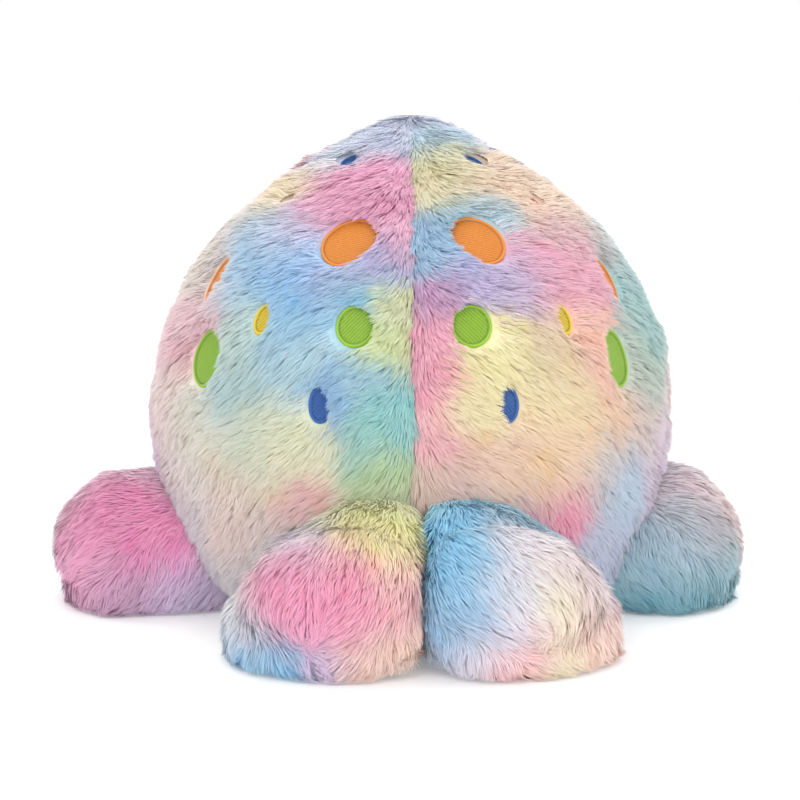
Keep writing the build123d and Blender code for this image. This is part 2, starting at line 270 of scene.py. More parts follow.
# ------------------------------------------------------------------ dye
# azimuth, height, spread in mm, colour: pastel patches over the body
DYE_BODY = [
    (-16, 277, 26, (203, 210, 232)), (35, 276, 26, (182, 212, 228)), (150, 272, 30, (214, 190, 222)),
    (-60, 266, 24, (224, 232, 244)), (-26, 251, 26, (243, 172, 206)), (-33, 238, 24, (242, 180, 208)),
    (-9, 252, 16, (240, 176, 206)), (-7, 232, 16, (238, 180, 206)), (20, 262, 20, (232, 226, 186)),
    (8, 250, 18, (236, 226, 186)), (38, 247, 24, (242, 214, 188)), (66, 244, 28, (238, 214, 190)),
    (-56, 240, 22, (244, 226, 190)), (-48, 215, 28, (176, 214, 238)), (-41, 225, 20, (206, 206, 230)),
    (-66, 205, 30, (226, 216, 214)), (-78, 200, 26, (236, 224, 208)), (6, 228, 20, (158, 196, 224)),
    (18, 236, 18, (170, 206, 222)), (-20, 205, 20, (190, 190, 226)), (-12, 216, 14, (196, 190, 226)),
    (-29, 197, 26, (150, 200, 238)), (-15, 196, 18, (156, 208, 226)), (-30, 178, 20, (160, 206, 232)),
    (-4, 192, 11, (222, 224, 184)), (-7, 174, 12, (214, 224, 170)), (-25, 164, 20, (182, 212, 222)),
    (5, 196, 10, (206, 160, 196)), (3, 172, 11, (238, 170, 192)), (3, 150, 11, (238, 172, 190)),
    (4, 126, 12, (238, 182, 190)), (15, 204, 18, (196, 184, 220)), (24, 200, 18, (204, 186, 216)),
    (36, 198, 22, (234, 176, 196)), (50, 206, 20, (238, 172, 194)), (50, 222, 20, (226, 192, 192)),
    (64, 206, 20, (206, 200, 200)), (76, 190, 22, (164, 202, 204)), (70, 170, 24, (158, 200, 198)),
    (18, 160, 20, (240, 232, 180)), (12, 142, 18, (238, 226, 180)), (31, 168, 20, (232, 212, 178)),
    (30, 146, 22, (236, 218, 176)), (44, 160, 22, (240, 192, 176)), (48, 134, 22, (240, 206, 176)),
    (62, 146, 24, (184, 200, 186)), (58, 118, 26, (214, 196, 190)), (-42, 168, 22, (196, 216, 208)),
    (-60, 170, 24, (238, 192, 202)), (-74, 160, 26, (236, 196, 206)), (-66, 130, 28, (234, 214, 208)),
    (-40, 143, 22, (178, 208, 212)), (-17, 140, 16, (132, 178, 222)), (-10, 150, 12, (168, 206, 220)),
    (-4, 138, 14, (148, 208, 206)), (-9, 119, 14, (160, 204, 196)), (-22, 117, 20, (222, 226, 196)),
    (-34, 119, 20, (208, 216, 196)), (-48, 119, 24, (224, 222, 208)), (-24, 100, 20, (232, 224, 196)),
    (-6, 103, 15, (184, 208, 160)), (-3, 88, 16, (200, 208, 176)), (-22, 84, 16, (232, 166, 184)),
    (-40, 92, 22, (228, 214, 200)), (-57, 92, 26, (226, 214, 208)), (-41, 66, 24, (228, 206, 198)),
    (-60, 60, 28, (214, 206, 214)), (-18, 62, 22, (220, 214, 190)), (-80, 90, 30, (214, 190, 210)),
    (17, 104, 20, (232, 200, 178)), (30, 109, 22, (236, 208, 174)), (8, 92, 18, (226, 194, 184)),
    (32, 76, 18, (238, 166, 188)), (41, 94, 20, (208, 200, 200)), (50, 78, 24, (176, 198, 218)),
    (66, 90, 28, (206, 186, 206)), (14, 66, 22, (206, 198, 206)), (84, 120, 30, (222, 196, 196)),
    (82, 60, 30, (190, 204, 220)), (50, 40, 30, (190, 196, 216)), (-30, 30, 36, (214, 206, 210)),
    (110, 240, 36, (166, 208, 236)), (-110, 240, 36, (244, 196, 210)), (120, 190, 34, (240, 220, 184)),
    (-118, 190, 34, (170, 212, 224)), (180, 240, 30, (242, 180, 206)), (180, 200, 30, (172, 208, 232)),
    (150, 210, 28, (240, 224, 190)), (-150, 210, 28, (206, 188, 222)), (155, 160, 30, (242, 186, 204)),
    (-155, 160, 30, (238, 226, 190)), (180, 150, 26, (200, 220, 190)), (130, 130, 34, (160, 206, 216)),
    (-130, 130, 34, (240, 196, 196)), (170, 100, 30, (238, 190, 204)), (-165, 100, 30, (176, 208, 228)),
    (110, 90, 36, (236, 208, 180)), (-110, 90, 36, (200, 192, 224)), (150, 60, 34, (176, 206, 224)),
    (-145, 60, 34, (238, 200, 200)), (180, 40, 36, (226, 214, 190)), (100, 40, 36, (196, 196, 222)),
    (-95, 40, 36, (236, 204, 206)),
]
_c = np.array([[a, z] for a, z, _, _ in DYE_BODY], float)
DYE_POS, _ = body_base(np.radians(_c[:, 0]), s_at_height(_c[:, 1]))
DYE_SIG = np.array([g for _, _, g, _ in DYE_BODY], float)
DYE_COL = pastel(srgb([c for _, _, _, c in DYE_BODY]), 1.0, 0.0) * 0.96


def mix_dye(p, pos, sig, col, warp=7.0, seed=50, seam=None):
    q = p + np.stack([noise(p, 26.0, seed + k) for k in range(3)], 1) * warp
    q = q + np.stack([noise(p, 9.0, seed + 5 + k) for k in range(3)], 1) * warp * 0.45
    out = np.zeros((len(p), 3))
    total = np.zeros(len(p))
    for k in range(len(pos)):
        d2 = ((q - pos[k]) ** 2).sum(1)
        w = np.exp(-d2 / (0.80 * sig[k]) ** 2) + 1e-5 * np.exp(-d2 / (3.0 * sig[k]) ** 2) + 1e-12
        if seam is not None:
            w = w * np.where(seam * pos[k, 0] < 0, 0.03, 1.0)
        out += w[:, None] * col[k]
        total += w
    return out / total[:, None]


def saturate(c, amount):
    g = (c @ np.array([0.25, 0.6, 0.15]))[:, None]
    return np.clip(g + (c - g) * amount, 0.0, 1.0)


def body_dye_and_crease_shade(p, spread=0.0):
    q = p + RNG.normal(0, 1, p.shape) * spread
    # painted shade: the colour is darkened along the front and back centre seam's crease, below the crown
    crease = 1 - 0.12 * np.exp(-((p[:, :1] / 2.4) ** 2)) * (p[:, 2:] < 270)
    return mix_dye(q, DYE_POS, DYE_SIG, DYE_COL, seam=p[:, 0]) * crease


# ------------------------------------------------------------------ arms
PAW_AXIS, PAW_HALF, PAW_SHOULDER, PAW_TIP, TIP_R = 27.0, 55.0, 165.0, 207.5, 60.0
SEAM_X = np.array([100, 140, 155, 168, 180, 189, 196, 204, 230.0])
SEAM_Z = np.array([76, 72, 69, 61, 49, 37, 27, 22, 20.0])


def paw_outline():
    middle = PAW_TIP - TIP_R
    run = PAW_SHOULDER - middle
    r1 = (TIP_R**2 - run**2 - PAW_HALF**2) / (2 * (TIP_R - PAW_HALF))
    lift = PAW_HALF - r1
    turn = math.atan2(lift, run)
    x0 = np.linspace(112, PAW_SHOULDER, 80, endpoint=False)
    a = np.linspace(math.pi / 2, turn, 60, endpoint=False)
    b = np.linspace(turn, 0, 60)
    pts = [np.stack([x0, np.full_like(x0, PAW_HALF), np.zeros_like(x0), np.ones_like(x0)], 1)]
    pts.append(np.stack([PAW_SHOULDER + r1 * np.cos(a), lift + r1 * np.sin(a), np.cos(a), np.sin(a)], 1))
    pts.append(np.stack([middle + TIP_R * np.cos(b), TIP_R * np.sin(b), np.cos(b), np.sin(b)], 1))
    p = np.concatenate(pts)
    s = np.concatenate([[0], np.cumsum(np.hypot(np.diff(p[:, 0]), np.diff(p[:, 1])))])
    return s, p


PAW_S, PAW_P = paw_outline()


class Arm:
    """An arm in its own axes: x outwards, y to the right seen from outside, z up.

    room is the half angle free on each side; wide, tall, slide, rise, out and shear reshape it;
    toe makes its toe a pillow of its own; density is the number of strands against a plain arm.
    """

    def __init__(
        self, name, az, pull, room, dyes,
        density=1.0, shear=0.0, wide=1.0, slide=0.0, tall=1.0, rise=0.0, out=0.0, toe=0.0,
    ):
        self.name, self.az, self.pull, self.room, self.shear = name, math.radians(az), pull, room, shear
        self.o = np.array([math.sin(self.az), -math.cos(self.az), 0.0])
        self.r = np.array([math.cos(self.az), math.sin(self.az), 0.0])
        self.density, self.wide, self.slide = density, wide, slide
        self.tall, self.rise = tall, rise
        self.out, self.toe = out, toe
        self.pos = np.array([d[:3] for d in dyes], float)
        self.sig = np.array([d[3] for d in dyes], float)
        self.col = pastel(srgb([d[4] for d in dyes]), 0.94, 0.02)

    def local(self, theta, s, inset):
        x, w, nx, nw = (np.interp(s, PAW_S, PAW_P[:, k]) for k in range(4))
        x = x - self.pull + self.out * np.clip((x - 130) / 20, 0, 1)
        p = np.stack([x, w * np.sin(theta), PAW_AXIS + w * np.cos(theta)], 1)
        n = np.stack([nx, nw * np.sin(theta), nw * np.cos(theta)], 1)
        q = p + self.o * 3 + 500 * self.az
        zs = np.interp(p[:, 0] + self.pull, SEAM_X, SEAM_Z)
        slope = np.interp(p[:, 0] + self.pull, SEAM_X, np.gradient(SEAM_Z, SEAM_X))
        d = (p[:, 2] - zs) / np.sqrt(1 + slope**2)
        dip = 4.2 * np.exp(-((d / 7.0) ** 2)) - noise(q, 30.0, 9) * 1.8 - noise(q, 15.0, 10) * 0.8
        dip -= 1.2
        # the toe is a pillow of its own, with a crease behind it
        crease = 5.5 * np.exp(-(((x - 170) / 8.0) ** 2)) - 2.5 * np.exp(-(((x - 191) / 11.0) ** 2))
        dip += self.toe * crease * np.clip((p[:, 2] - 30) / 22, 0, 1)
        p = p - n * (inset + dip)[:, None]
        floor = np.clip(inset, 0.8, 20) * 0.55
        p[:, 2] = np.maximum(p[:, 2], floor)
        p[:, 1] += self.shear * np.clip(p[:, 2] / 70, 0, 1) * np.clip((212 - p[:, 0]) / 50, 0, 1)
        for sign, room in zip((-1, 1), self.room):
            lim = np.maximum(p[:, 0] * math.tan(math.radians(room)) - 0.6 - inset * 0.45, 4)
            y = p[:, 1] * sign
            y = np.where(y > lim - 6, lim - 6 + 6 * np.tanh((y - lim + 6) / 6), y)
            p[:, 1] = y * sign
            if room < 17 and self.shear:
                near = np.exp(-(((lim - y) / 13.0) ** 2)) * np.clip((p[:, 0] - 140) / 50, 0, 1)
                p[:, 2] += 15 * near * np.clip((34 - p[:, 2]) / 34, 0, 1)
        p[:, 1] = p[:, 1] * self.wide + self.slide
        p[:, 2] *= self.tall
        p[:, 2] += self.rise * np.clip((p[:, 2] - 27) / 50, 0, 1) * np.clip((178 - p[:, 0]) / 40, 0, 1)
        return p, n, d

    def world(self, p):
        return p[:, :1] * self.o + p[:, 1:2] * self.r + p[:, 2:3] * np.array([0, 0, 1.0])

    def dye_and_painted_shading(self, local):
        col = mix_dye(local + 500 * self.az, self.pos + 500 * self.az, self.sig, self.col, 5.0, 70)
        # painted light: the colour is brightened towards the body, where the arm's top lies in the body's
        # shadow
        return np.clip(col * (1 + 0.22 * np.clip((172 - local[:, :1]) / 24, 0, 1)), 0, 0.95)


# local x (outwards), y (to the right seen from outside), z, spread, colour
PINK, WHITE, CREAM, LILAC = (238, 150, 190), (236, 232, 236), (236, 222, 196), (206, 188, 220)
BLUE, AQUA, MINT, PEACH = (150, 200, 232), (140, 204, 216), (176, 216, 196), (240, 200, 178)
YELLOW, MAUVE, ROSE = (236, 226, 172), (208, 150, 186), (240, 172, 188)
ARMS = [
    Arm("back_left", -15.5, 0, (27, 15.5), [
        (150, -20, 78, 22, (224, 224, 236)), (150, 20, 78, 22, (242, 234, 180)),
        (166, 30, 70, 24, (244, 236, 176)), (165, -30, 66, 22, (240, 218, 222)),
        (176, -8, 66, 18, (222, 224, 232)), (193, -14, 50, 26, (246, 152, 192)),
        (196, 14, 48, 24, (246, 156, 192)), (182, 42, 48, 16, (244, 190, 196)),
        (204, -5, 34, 18, (246, 168, 200)), (178, -50, 36, 24, (242, 238, 234)),
        (194, -46, 30, 18, (242, 228, 234)), (204, -20, 12, 18, (140, 202, 234)),
        (192, -44, 10, 26, (128, 194, 230)), (206, 8, 10, 18, (214, 196, 228)),
        (194, 40, 12, 22, (240, 206, 192)), (165, -52, 14, 22, (206, 220, 236)),
        (165, 50, 20, 22, (240, 214, 196)),
    ], density=1.6, shear=22.0, wide=1.16, slide=-3.0, rise=7.0, toe=1.0),
    Arm("back_right", 15.5, 0, (15.5, 27), [
        (150, -25, 74, 24, (144, 212, 238)), (150, 15, 80, 20, (152, 214, 236)),
        (168, -32, 62, 24, (130, 204, 238)), (172, 12, 74, 20, (232, 228, 236)),
        (182, -28, 50, 20, (148, 206, 238)), (190, -42, 34, 18, (160, 196, 226)),
        (194, -8, 48, 20, (222, 220, 232)), (184, 24, 58, 22, (242, 226, 226)),
        (198, 18, 40, 20, (246, 236, 206)), (178, 44, 46, 22, (240, 224, 230)),
        (168, 50, 50, 18, (234, 224, 232)), (206, -14, 26, 16, (238, 226, 236)),
        (206, 8, 26, 12, (246, 206, 216)), (200, 36, 22, 18, (246, 218, 200)),
        (205, -4, 10, 18, (244, 184, 186)), (198, -36, 10, 20, (226, 220, 234)),
        (205, 18, 8, 16, (236, 230, 190)), (190, 46, 14, 24, (246, 208, 194)),
    ], density=1.6, shear=-22.0, wide=1.16, slide=13.0, rise=7.0, toe=1.0),
    Arm("side_left", -78.0, 8, (27, 27), [
        (150, 0, 82, 24, (226, 190, 210)), (168, 0, 78, 18, (240, 198, 216)),
        (180, 20, 60, 26, (232, 132, 180)), (165, 46, 46, 24, (232, 140, 186)),
        (195, 25, 38, 24, (236, 160, 196)), (196, -10, 52, 18, (238, 186, 210)), (206, -20, 34, 18, MINT),
        (200, -30, 20, 22, (186, 208, 200)), (180, -40, 40, 26, (222, 206, 216)),
        (200, 10, 12, 22, MAUVE), (180, 50, 14, 24, (200, 150, 186)), (150, 50, 10, 24, (196, 176, 206)),
    ], density=1.1, out=15.0, tall=0.92),
    Arm("side_right", 78.0, 8, (27, 27), [
        (150, 0, 82, 24, (212, 204, 214)), (170, -10, 78, 18, (226, 202, 206)),
        (188, -5, 64, 20, (224, 196, 198)), (180, -30, 56, 22, (186, 178, 184)),
        (200, 0, 42, 20, (232, 204, 200)), (206, 20, 34, 20, (224, 188, 190)),
        (170, -48, 40, 22, (164, 190, 206)), (192, -28, 34, 20, (150, 180, 190)),
        (200, -16, 18, 22, (134, 194, 206)), (176, -48, 12, 26, (96, 160, 176)),
        (205, 16, 12, 20, (150, 196, 206)), (180, 44, 40, 26, (230, 206, 190)),
    ], density=1.1, tall=0.93),
    Arm("front_side_left", -131.0, 4, (17.5, 27), [
        (150, 0, 82, 26, AQUA), (180, 10, 66, 26, (170, 208, 228)), (200, 0, 44, 24, WHITE),
        (180, 46, 34, 26, MINT), (180, -44, 36, 26, YELLOW), (204, 0, 14, 24, LILAC),
        (175, 46, 8, 24, BLUE),
    ], density=0.8),
    Arm("front_side_right", 131.0, 4, (27, 17.5), [
        (150, 0, 82, 26, ROSE), (180, -10, 66, 26, (240, 190, 200)), (200, 0, 44, 24, CREAM),
        (180, -46, 34, 26, LILAC), (180, 44, 36, 26, PEACH), (204, 0, 14, 24, PINK),
        (175, -46, 8, 24, MAUVE),
    ], density=0.8),
    Arm("front_left", -164.5, 0, (15.5, 16), [
        (150, 0, 82, 26, YELLOW), (180, 10, 66, 26, CREAM), (200, 0, 44, 24, (176, 212, 226)),
        (180, -40, 34, 26, BLUE), (180, 40, 36, 24, MINT), (204, 0, 14, 24, AQUA),
        (175, -46, 8, 24, LILAC),
    ], density=0.8),
    Arm("front_right", 164.5, 0, (16, 15.5), [
        (150, 0, 82, 26, LILAC), (180, -10, 66, 26, PINK), (200, 0, 44, 24, (240, 196, 210)),
        (180, 40, 34, 26, PEACH), (180, -40, 36, 24, WHITE), (204, 0, 14, 24, ROSE),
        (175, 46, 8, 24, CREAM),
    ], density=0.8),
]


def in_arm(p):
    """How deep points lie inside the nearest arm, in millimetres."""
    deep = np.full(len(p), -99.0)
    for arm in ARMS:
        x, y, z = p @ arm.o + arm.pull, p @ arm.r, p[:, 2]
        w = np.interp(x, PAW_P[:, 0], PAW_P[:, 1], right=0)
        d = np.where(x > 100, w - np.hypot(y, z - PAW_AXIS), -99)
        deep = np.maximum(deep, d)
    return deep


# ------------------------------------------------------------------ meshes
def material(name, base, rough, **sockets):
    m = bpy.data.materials.new(name)
    m.use_nodes = True
    b = m.node_tree.nodes["Principled BSDF"]
    b.inputs["Base Color"].default_value = (*base, 1)
    b.inputs["Roughness"].default_value = rough
    for key, value in sockets.items():
        b.inputs[key.replace("_", " ")].default_value = value
    return m


def dye_and_shading_material(name, rough, **sockets):
    # the colour attribute holds the dye together with painted shade and painted light
    m = material(name, (0.8, 0.8, 0.8), rough, **sockets)
    nt = m.node_tree
    at = nt.nodes.new("ShaderNodeAttribute")
    at.attribute_name = "dye_and_painted_shading"
    nt.links.new(at.outputs["Color"], nt.nodes["Principled BSDF"].inputs["Base Color"])
    return m


FUR = dye_and_shading_material("plush pile", 0.72, Sheen_Weight=0.5, Sheen_Roughness=0.5, Specular_IOR_Level=0.25)
SKIN = dye_and_shading_material("plush backing", 0.95, Specular_IOR_Level=0.1)


def make_mesh(name, verts, faces4, faces3, mat, colour=None, uv=None, normals=None):
    """verts in mm (n,3); faces4 (m,4) and faces3 (k,3) index arrays; uv per vertex."""
    me = bpy.data.meshes.new(name)
    n4, n3 = len(faces4), len(faces3)
    me.vertices.add(len(verts))
    me.vertices.foreach_set("co", (verts * MM).astype(np.float32).ravel())
    loops = np.concatenate([np.asarray(faces4, np.int32).ravel(), np.asarray(faces3, np.int32).ravel()])
    me.loops.add(len(loops))
    me.loops.foreach_set("vertex_index", loops.astype(np.int32))
    me.polygons.add(n4 + n3)
    starts = np.concatenate([np.arange(n4) * 4, n4 * 4 + np.arange(n3) * 3]).astype(np.int32)
    me.polygons.foreach_set("loop_start", starts)
    me.update(calc_edges=True)
    me.polygons.foreach_set("use_smooth", np.full(n4 + n3, True))
    if colour is not None:
        at = me.color_attributes.new("dye_and_painted_shading", "FLOAT_COLOR", "POINT")
        rgba = np.concatenate([colour, np.ones((len(colour), 1))], 1).astype(np.float32)
        at.data.foreach_set("color", rgba.ravel())
    if uv is not None:
        layer = me.uv_layers.new(name="OFBake")
        layer.data.foreach_set("uv", uv[loops].astype(np.float32).ravel())
    if normals is not None:
        me.normals_split_custom_set_from_vertices(normals.astype(np.float32))
    me.materials.append(mat)
    ob = bpy.data.objects.new(name, me)
    bpy.context.scene.collection.objects.link(ob)
    return ob


NO_TRIANGLES = np.zeros((0, 3), int)


def grid_faces(nu, nv, wrap=False):
    i = np.arange(nu if wrap else nu - 1)[:, None]
    j = np.arange(nv - 1)[None, :]
    a = i * nv + j
    b = ((i + 1) % nu) * nv + j
    return np.stack([a, b, b + 1, a + 1], -1).reshape(-1, 4)


def strands(name, root, normal, flow, length, width, col):
    """One mesh of tapered curved blades that lean from the normal towards the flow."""
    n = len(root)
    # where the surface faces up the pile lies flatter, on a slightly thicker layer
    lay = np.clip((normal[:, 2] - 0.5) / 0.42, 0, 1)
    root = root + normal * (2.6 * lay)[:, None]
    c, rnd = clump(root, CLUMP_SIZE, 11)
    # each clump has a lean of its own, and its strands come together at its tip
    side = unit(np.cross(normal, flow))
    sway = (rnd[:, 0] - 0.5) * 0.42 + noise(root, 16.0, 61) * 0.32 + RNG.normal(0, 0.10, n)
    t = unit(flow * np.cos(sway)[:, None] + side * np.sin(sway)[:, None])
    lean = (rnd[:, 1] - 0.5) * 0.20 + noise(root, 14.0, 62) * 0.16 + RNG.normal(0, 0.07, n)
    l = length * (0.86 + 0.2 * rnd[:, 2] + RNG.normal(0, 0.05, n))
    a0 = ROOT_LEAN + lean + 0.40 * lay
    a1 = (ROOT_LEAN + TIP_LEAN) / 2 + lean + 0.28 * lay
    a2 = TIP_LEAN + lean + 0.14 * lay
    d0 = normal * np.cos(a0)[:, None] + t * np.sin(a0)[:, None]
    d1 = normal * np.cos(a1)[:, None] + t * np.sin(a1)[:, None]
    d2 = normal * np.cos(a2)[:, None] + t * np.sin(a2)[:, None]
    mid = root + (d0 * 0.6 + d1 * 0.4) * (l * 0.45)[:, None]
    tip = mid + (d1 * 0.4 + d2 * 0.6) * (l * 0.55)[:, None]
    # draw tips towards the clump's middle, along the surface only
    pull = c - root
    pull -= normal * (pull * normal).sum(1, keepdims=True)
    amount = 0.12 + 0.38 * RNG.random(n)
    mid = mid + pull * (amount * 0.35)[:, None]
    tip = tip + pull * amount[:, None]
    face = unit(normal + RNG.normal(0, 0.28, (n, 3)))
    w = unit(np.cross(tip - root, face)) * (width * (0.75 + 0.5 * RNG.random(n)))[:, None] * 0.5
    v = np.stack([root - w, root + w, mid - w * 0.85, mid + w * 0.85, tip], 1)
    v[:, :, 2] = np.maximum(v[:, :, 2], STRAND_FLOOR + 0.6 * RNG.random((n, 1)))
    # shading follows the lock more than the single hair
    nn = unit(np.cross(w, tip - root))
    nn = np.where((nn * normal).sum(1, keepdims=True) < 0, -nn, nn)
    soft = unit(normal * 1.25 + nn * 0.26 + unit(root - c + normal * 5.0) * 0.22)
    nv = np.repeat(soft[:, None, :], 5, 1)
    k = np.arange(n)[:, None] * 5
    f4 = k + np.array([[0, 1, 3, 2]])
    f3 = k + np.array([[2, 3, 4]])
    # painted shade: strands rooted in the gaps between locks are a little darker and richer in colour than
    # those at their middles; noise patches are a little deeper in colour too
    gap = np.linalg.norm(root - c, axis=1) / CLUMP_SIZE
    gap = np.clip((gap - 0.25) / 0.45, 0, 1)[:, None]
    deep = np.clip(noise(root, 11.0, 63) * 1.4 - 0.25, 0, 1)[:, None]
    col = saturate(col, 1.0 + 0.14 * gap + 0.30 * deep)
    shade = (0.96 + 0.08 * RNG.random(n))[:, None] * (1.0 - 0.03 * gap - 0.05 * deep)
    # painted shade and light along each strand: the root is richer in colour, the tip paler
    dark = saturate(col, 0.95) * 0.98 + 0.02
    middle = saturate(col, 0.92) * 0.96 + 0.03
    painted_tip_light = saturate(col, 0.90) * 0.94 + 0.05
    cols = np.stack([dark, dark, middle, middle, painted_tip_light], 1) * shade[:, None, :]
    cols = np.clip(cols, 0, 0.93)
    m = int(math.ceil(math.sqrt(n)))
    cell = 1.0 / m
    cu, cv = (np.arange(n) % m) * cell, (np.arange(n) // m) * cell
    off = np.array([[0.12, 0.12], [0.88, 0.12], [0.12, 0.5], [0.88, 0.5], [0.5, 0.9]]) * cell
    uv = np.stack([cu, cv], 1)[:, None, :] + off[None]
    v, cols, nv = (a.reshape(-1, 3) for a in (v, cols, nv))
    return make_mesh(name, v, f4, f3, FUR, cols, uv.reshape(-1, 2), nv)


def near_holes(p):
    """Smallest gap to any spot or eye, and the direction away from it."""
    g = np.full(len(p), 99.0)
    away = np.zeros_like(p)
    for hole in HOLES.values():
        h = hole.gap(p)
        m = h < g
        g[m] = h[m]
        d = p - hole.c
        away[m] = d[m]
    return g, unit(away)


# ------------------------------------------------------------------ body
QUARTERS = {
    "rear_left": (-90, 0),
    "rear_right": (0, 90),
    "front_right": (90, 180),
    "front_left": (-180, -90),
}


def area_sampler(n, a0, a1, s_lo):
    s = np.linspace(s_lo, TOTAL_S, 2000)
    r = np.interp(s, OUT_S, OUT_P[:, 0])
    cdf = np.concatenate([[0], np.cumsum((r[1:] + r[:-1]) / 2 * np.diff(s))])
    u = (np.arange(n) + RNG.random(n)) / n
    ss = np.interp(u * cdf[-1], cdf, s)
    phi = np.radians(a0 + (a1 - a0) * ((np.arange(n) * GOLDEN) % 1.0))
    phi += RNG.normal(0, 0.004, n)
    return phi, ss


def body_flow(phi, s):
    """Comb direction: down the body and away from the middle seams."""
    down = -unit(body_base(phi, s + 0.5)[0] - body_base(phi, s - 0.5)[0])
    out = np.where(np.abs(phi) < math.pi / 2, np.sign(phi), -np.sign(phi))
    right = np.stack([np.cos(phi), np.sin(phi), np.zeros_like(phi)], 1) * out[:, None]
    p, _ = body_base(phi, s)
    beta = np.radians(44) + noise(p, 40.0, 31) * 0.45
    beta = beta * np.clip(np.abs(p[:, 0]) / 16.0, 0.12, 1)
    return unit(down * np.cos(beta)[:, None] + right * np.sin(beta)[:, None])


REAR_SPLIT_S = float(s_at_height(140.0))


def build_gore(quarter, a0, a1):
    rear = quarter.startswith("rear")
    # backing, with pits at the spots
    nu, nv = 150, 210
    phi = np.radians(np.linspace(a0, a1, nu))
    s = np.linspace(0.0, TOTAL_S - 0.4, nv)
    P, S = (g.ravel() for g in np.meshgrid(phi, s, indexing="ij"))
    base, _ = body_base(P, S)
    g, _ = near_holes(base)
    inset = SKIN_INSET + PIT_DROP * np.clip(1 - (g - 0.2) / 2.5, 0, 1)
    v = body_point(P, S, inset)
    v[:, 2] = np.maximum(v[:, 2], 1.2)
    # painted shade: the backing is dimmed and greyed a little, as it lies under the pile
    col = saturate(body_dye_and_crease_shade(base), 0.95) * 0.97
    uv = np.stack([(P - phi[0]) / (phi[-1] - phi[0]), S / TOTAL_S], 1)
    faces = grid_faces(nu, nv)
    skin = make_mesh(f"gore_skin_{quarter}", v, faces, NO_TRIANGLES, SKIN, col, uv)
    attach(skin, "body")
    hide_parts(f"gore_{quarter}", *(["stuffing_core"] if quarter == "rear_left" else []))
    # pile
    n = int((REAR_STRANDS if rear else FRONT_STRANDS) * DENSITY)
    phi, s = area_sampler(n, a0, a1, 12.0)
    base, flat = body_base(phi, s)
    g, away = near_holes(base)
    keep = (g > 0.9) & (in_arm(base) < 7)
    phi, s, base, flat, g, away = (x[keep] for x in (phi, s, base, flat, g, away))
    dead = np.full(len(phi), FUR_ROOT)
    root = body_point(phi, s, dead)
    normal = grad_normal(body_point, phi, s, dead)
    flow = body_flow(phi, s)
    k = np.exp(-np.clip(g, 0, 50) / 5.0)[:, None]
    away = away - normal * (away * normal).sum(1, keepdims=True)
    along = (unit(away) * flow).sum(1, keepdims=True)
    down_side, up_side = np.clip(along, 0, 1), np.clip(-along, 0, 1)
    flow = unit(flow * (1 - 0.45 * k) + unit(away) * k * (0.15 + 0.45 * down_side))
    flow = unit(flow - normal * (flow * normal).sum(1, keepdims=True))
    length = FUR_LENGTH * (1 - 0.33 * k[:, 0] - 0.40 * (k * up_side)[:, 0])
    seam = np.minimum(np.abs(base[:, 0]), np.abs(base[:, 1]))
    length = length * (1 - 0.10 * np.exp(-seam / 4.0))
    length = length * (1 + 0.22 * np.clip((base[:, 2] - 250) / 30, 0, 1))
    col = body_dye_and_crease_shade(base, 3.0)
    width = FUR_WIDTH * FAT * (1.0 if rear else 1.5)
    bands = {"_low": s < REAR_SPLIT_S, "_top": s >= REAR_SPLIT_S} if rear else {"": s > -1}
    for suffix, m in bands.items():
        name = f"gore_fur_{quarter}{suffix}"
        ob = strands(name, root[m], normal[m], flow[m], length[m], width, col[m])
        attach(ob, "body")


for quarter, (a0, a1) in QUARTERS.items():
    build_gore(quarter, a0, a1)


